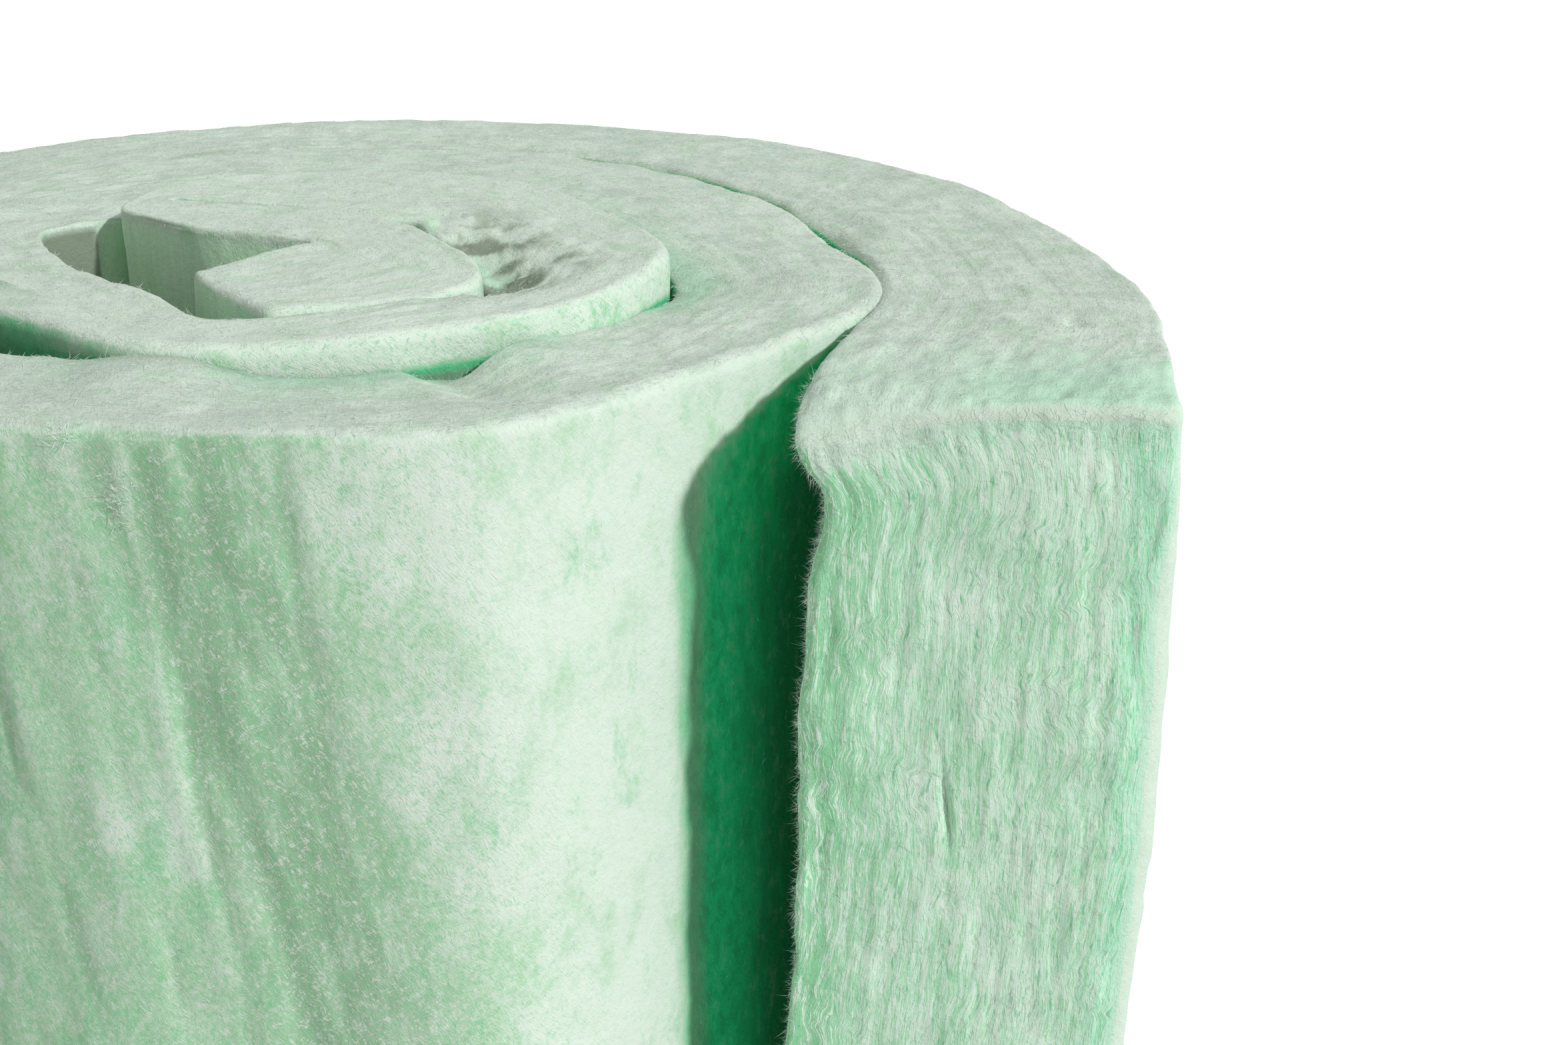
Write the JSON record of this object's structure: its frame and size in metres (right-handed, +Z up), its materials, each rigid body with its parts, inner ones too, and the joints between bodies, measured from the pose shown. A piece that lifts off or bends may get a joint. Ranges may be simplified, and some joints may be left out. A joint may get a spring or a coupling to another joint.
{
  "type": "insulation blanket",
  "caption": "Soft polyester-fibre insulation blanket, loosely rolled and standing on its side edge, with a folded core and a free cut end; lines stud walls, floors and ceilings.",
  "frame": {"origin": "centre of the roll's bounding box in plan, on the level floor that the roll stands on", "axes": "+Z up along the roll's axis and the blanket's width; the free end is at +X and its cut face looks along -Y"},
  "size_m": [0.4454, 0.385, 0.58],
  "materials": {
    "fibre": "matt fluffy nonwoven fibre, pale mint green with greyish and deeper green streaks"
  },
  "bodies": {
    "root": {"insulation_blanket": "fibre"}
  },
  "joints": []
}
